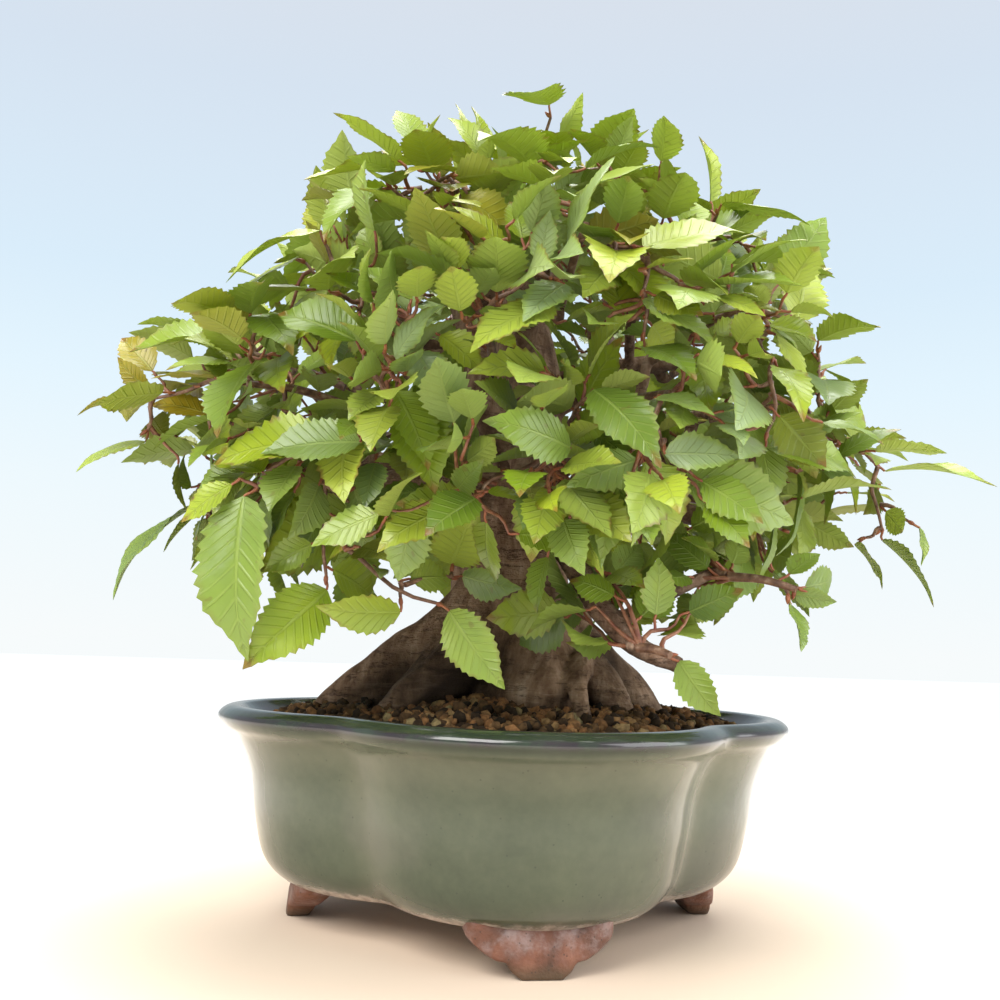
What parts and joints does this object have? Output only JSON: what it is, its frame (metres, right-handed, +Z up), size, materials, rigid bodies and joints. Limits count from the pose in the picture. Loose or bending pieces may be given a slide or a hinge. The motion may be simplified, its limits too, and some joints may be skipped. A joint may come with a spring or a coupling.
{
  "type": "potted bonsai tree",
  "caption": "Small broad-crowned Korean hornbeam bonsai with a flared root base, planted in a four-lobed, green-glazed ceramic pot on scrolled feet.",
  "frame": {"origin": "on the standing surface, under the middle of the bounding box", "axes": "+X and +Y through the pot's lobes, -Y the pot's front, +Z up"},
  "size_m": [0.233, 0.186, 0.2229],
  "materials": {
    "glaze": "glossy grey-green glaze over reddish clay, darker on the rim, with unglazed clay feet",
    "net": "black plastic drain net",
    "wire": "brown anodised aluminium wire",
    "soil": "damp baked clay granules, brown to ochre",
    "bark": "grey-brown bark, pinkish on the branches",
    "leaf": "fresh green leaves on red-brown twigs"
  },
  "bodies": {
    "root": {"drain_screen": "net", "pot": "glaze", "screen_wire": "wire", "soil": "soil", "spray_01": "leaf", "spray_02": "leaf", "spray_03": "leaf", "spray_04": "leaf", "spray_05": "leaf", "spray_06": "leaf", "spray_07": "leaf", "spray_08": "leaf", "spray_09": "leaf", "spray_10": "leaf", "spray_11": "leaf", "spray_12": "leaf", "spray_13": "leaf", "spray_14": "leaf", "spray_15": "leaf", "spray_16": "leaf", "spray_17": "leaf", "spray_18": "leaf", "spray_19": "leaf", "spray_20": "leaf", "spray_21": "leaf", "spray_22": "leaf", "spray_23": "leaf", "spray_24": "leaf", "spray_25": "leaf", "spray_26": "leaf", "spray_27": "leaf", "spray_28": "leaf", "spray_29": "leaf", "spray_30": "leaf", "spray_31": "leaf", "spray_32": "leaf", "spray_33": "leaf", "spray_34": "leaf", "trunk": "bark"}
  },
  "joints": []
}
